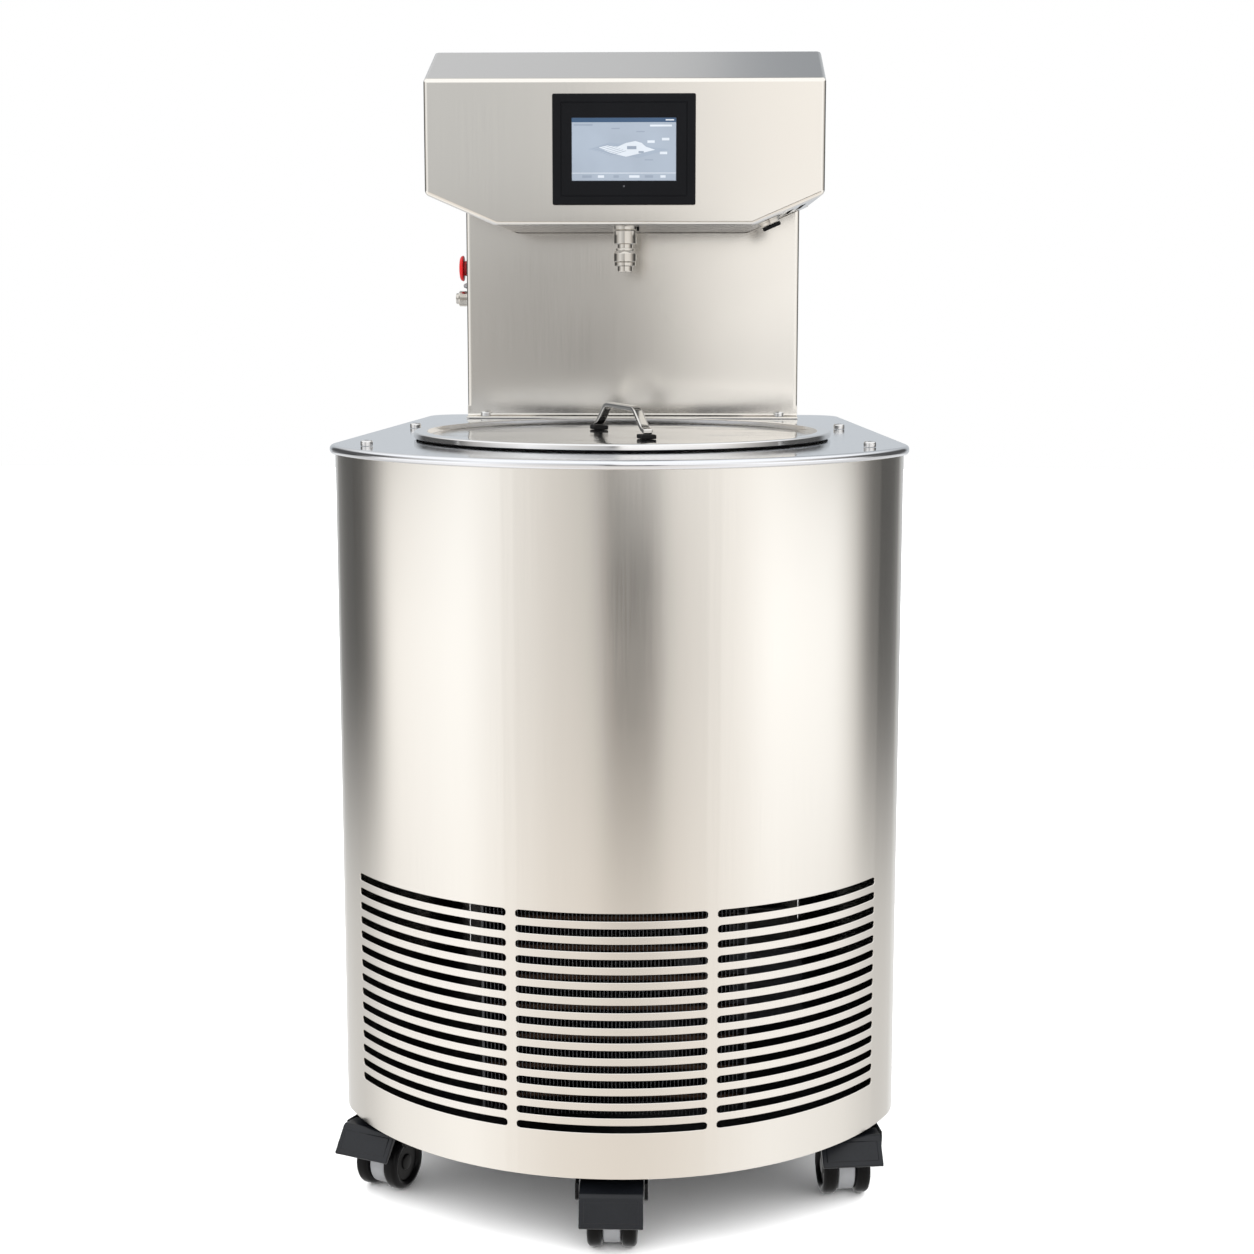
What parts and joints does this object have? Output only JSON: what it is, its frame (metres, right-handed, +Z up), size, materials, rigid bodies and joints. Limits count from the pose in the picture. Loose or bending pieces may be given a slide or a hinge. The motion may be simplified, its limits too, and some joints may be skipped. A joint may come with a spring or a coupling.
{
  "type": "sous vide circulator bath",
  "caption": "Floor-standing stainless bath on casters: D-plan slotted cabinet, lidded round vessel in a polished deck, rear column and overhanging head with touch panel and stirrer coupling.",
  "frame": {"origin": "on the floor, under the middle of the deck's rim box", "axes": "+Z up, -Y towards the front with the grille and the touch panel, +X to the right seen from the front"},
  "size_m": [0.5172, 0.663, 1.044],
  "materials": {
    "brushed_steel": "304 stainless sheet, fine linished grain, warm grey",
    "polished_steel": "304 stainless sheet, polished almost to a mirror",
    "base_steel": "dark zinc-coated and painted steel",
    "nickel": "satin nickel plate on turned steel",
    "screw_steel": "bright stainless button-head screw",
    "rubber": "black moulded rubber, matt",
    "black_plastic": "black injection-moulded plastic, fine texture",
    "wheel_black": "black polyurethane-rimmed nylon wheel",
    "grey_plastic": "mid-grey moulded nylon",
    "red_plastic": "signal-red moulded button, glossy",
    "display_glass": "lit colour display under flat glass",
    "insulation_foil": "dull aluminium foil and sheet",
    "motor_black": "black painted motor casing",
    "condenser_fins": "dark coated aluminium fins"
  },
  "bodies": {
    "cabinet": {"cabinet_wrap": "brushed_steel", "rear_panel": "brushed_steel", "base_plate": "base_steel", "deck_plate": "polished_steel", "mains_inlet": "black_plastic", "vessel": "brushed_steel", "heater_band": "base_steel", "insulation": "insulation_foil", "compressor": "motor_black", "condenser": "condenser_fins", "fan_shroud": "black_plastic", "power_supply": "insulation_foil", "deck_screw_1": "screw_steel", "deck_screw_2": "screw_steel", "deck_screw_3": "screw_steel", "deck_screw_4": "screw_steel", "column_shell": "brushed_steel", "column_rear_cover": "brushed_steel", "column_screw_1": "screw_steel", "column_screw_2": "screw_steel", "estop_collar": "black_plastic", "probe_socket": "nickel", "head_shell": "brushed_steel", "head_rear_cover": "brushed_steel", "hmi_bezel": "black_plastic", "hmi_screen": "display_glass", "hmi_case": "grey_plastic", "service_socket": "nickel", "service_cap": "black_plastic", "drive_motor": "motor_black", "drive_belt": "rubber", "spindle_housing": "nickel", "front_caster_plate": "base_steel", "left_caster_plate": "base_steel", "right_caster_plate": "base_steel"},
    "lid": {"lid_pan": "polished_steel", "lid_gasket": "rubber", "lid_handle": "nickel", "handle_pad_1": "rubber", "handle_pad_2": "rubber"},
    "spindle": {"spindle": "nickel", "spindle_pulley": "nickel"},
    "sleeve": {"coupling_sleeve": "nickel"},
    "motor_rotor": {"motor_pulley": "nickel"},
    "stop_button": {"estop_button": "red_plastic"},
    "fan": {"fan_rotor": "grey_plastic"},
    "front_caster_swivel_body": {"front_caster_swivel": "grey_plastic"},
    "front_caster_wheel_body": {"front_caster_wheels": "wheel_black"},
    "front_caster_pedal_body": {"front_caster_pedal": "black_plastic"},
    "left_caster_swivel_body": {"left_caster_swivel": "grey_plastic"},
    "left_caster_wheel_body": {"left_caster_wheels": "wheel_black"},
    "left_caster_pedal_body": {"left_caster_pedal": "black_plastic"},
    "right_caster_swivel_body": {"right_caster_swivel": "grey_plastic"},
    "right_caster_wheel_body": {"right_caster_wheels": "wheel_black"},
    "right_caster_pedal_body": {"right_caster_pedal": "black_plastic"},
    "rear_left_caster_swivel_body": {"rear_left_caster_swivel": "grey_plastic"},
    "rear_left_caster_wheel_body": {"rear_left_caster_wheels": "wheel_black"},
    "rear_right_caster_swivel_body": {"rear_right_caster_swivel": "grey_plastic"},
    "rear_right_caster_wheel_body": {"rear_right_caster_wheels": "wheel_black"}
  },
  "joints": [
    {"name": "lid_lift", "type": "slide", "parent": "cabinet", "child": "lid", "axis": [0, -0.8, 0.6], "range_m": [0, 0.3]},
    {"name": "spindle_spin", "type": "hinge", "parent": "cabinet", "child": "spindle", "pos_m": [0, 0.032, 0.85], "axis": [0, 0, 1], "continuous": true},
    {"name": "sleeve_slide", "type": "slide", "parent": "spindle", "child": "sleeve", "axis": [0, 0, 1], "range_m": [0, 0.003], "stiffness_N_per_m": 300, "springref_m": -0.003},
    {"name": "motor_spin", "type": "hinge", "parent": "cabinet", "child": "motor_rotor", "pos_m": [0, 0.15, 0.887], "axis": [0, 0, 1], "continuous": true},
    {"name": "stop_press", "type": "slide", "parent": "cabinet", "child": "stop_button", "axis": [1, 0, 0], "range_m": [0, 0.0025], "stiffness_N_per_m": 400, "springref_m": -0.005},
    {"name": "fan_spin", "type": "hinge", "parent": "cabinet", "child": "fan", "pos_m": [0, -0.2, 0.195], "axis": [0, 1, 0], "continuous": true},
    {"name": "front_caster_swivel", "type": "hinge", "parent": "cabinet", "child": "front_caster_swivel_body", "pos_m": [0, -0.279, 0.065], "axis": [0, 0, 1], "continuous": true},
    {"name": "front_caster_roll", "type": "hinge", "parent": "front_caster_swivel_body", "child": "front_caster_wheel_body", "pos_m": [0, -0.295, 0.025], "axis": [1, 0, 0], "continuous": true},
    {"name": "front_caster_brake", "type": "hinge", "parent": "front_caster_swivel_body", "child": "front_caster_pedal_body", "pos_m": [0, -0.306, 0.06], "axis": [1, 0, 0], "range_deg": [-20, 0]},
    {"name": "left_caster_swivel", "type": "hinge", "parent": "cabinet", "child": "left_caster_swivel_body", "pos_m": [-0.2035, -0.159, 0.065], "axis": [0, 0, 1], "continuous": true},
    {"name": "left_caster_roll", "type": "hinge", "parent": "left_caster_swivel_body", "child": "left_caster_wheel_body", "pos_m": [-0.21026, -0.1735, 0.025], "axis": [0.9063, -0.4226, 0], "continuous": true},
    {"name": "left_caster_brake", "type": "hinge", "parent": "left_caster_swivel_body", "child": "left_caster_pedal_body", "pos_m": [-0.21491, -0.18347, 0.06], "axis": [0.9063, -0.4226, 0], "range_deg": [0, 20]},
    {"name": "right_caster_swivel", "type": "hinge", "parent": "cabinet", "child": "right_caster_swivel_body", "pos_m": [0.2035, -0.159, 0.065], "axis": [0, 0, 1], "continuous": true},
    {"name": "right_caster_roll", "type": "hinge", "parent": "right_caster_swivel_body", "child": "right_caster_wheel_body", "pos_m": [0.20573, -0.17484, 0.025], "axis": [0.9903, 0.1392, 0], "continuous": true},
    {"name": "right_caster_brake", "type": "hinge", "parent": "right_caster_swivel_body", "child": "right_caster_pedal_body", "pos_m": [0.20726, -0.18574, 0.06], "axis": [0.9903, 0.1392, 0], "range_deg": [0, 20]},
    {"name": "rear_left_caster_swivel", "type": "hinge", "parent": "cabinet", "child": "rear_left_caster_swivel_body", "pos_m": [-0.178, 0.272, 0.065], "axis": [0, 0, 1], "continuous": true},
    {"name": "rear_left_caster_roll", "type": "hinge", "parent": "rear_left_caster_swivel_body", "child": "rear_left_caster_wheel_body", "pos_m": [-0.178, 0.256, 0.025], "axis": [1, 0, 0], "continuous": true},
    {"name": "rear_right_caster_swivel", "type": "hinge", "parent": "cabinet", "child": "rear_right_caster_swivel_body", "pos_m": [0.178, 0.272, 0.065], "axis": [0, 0, 1], "continuous": true},
    {"name": "rear_right_caster_roll", "type": "hinge", "parent": "rear_right_caster_swivel_body", "child": "rear_right_caster_wheel_body", "pos_m": [0.178, 0.256, 0.025], "axis": [1, 0, 0], "continuous": true}
  ],
  "couplings": [
    {"joint": "motor_spin", "follows": "spindle_spin", "ratio": 1}
  ]
}
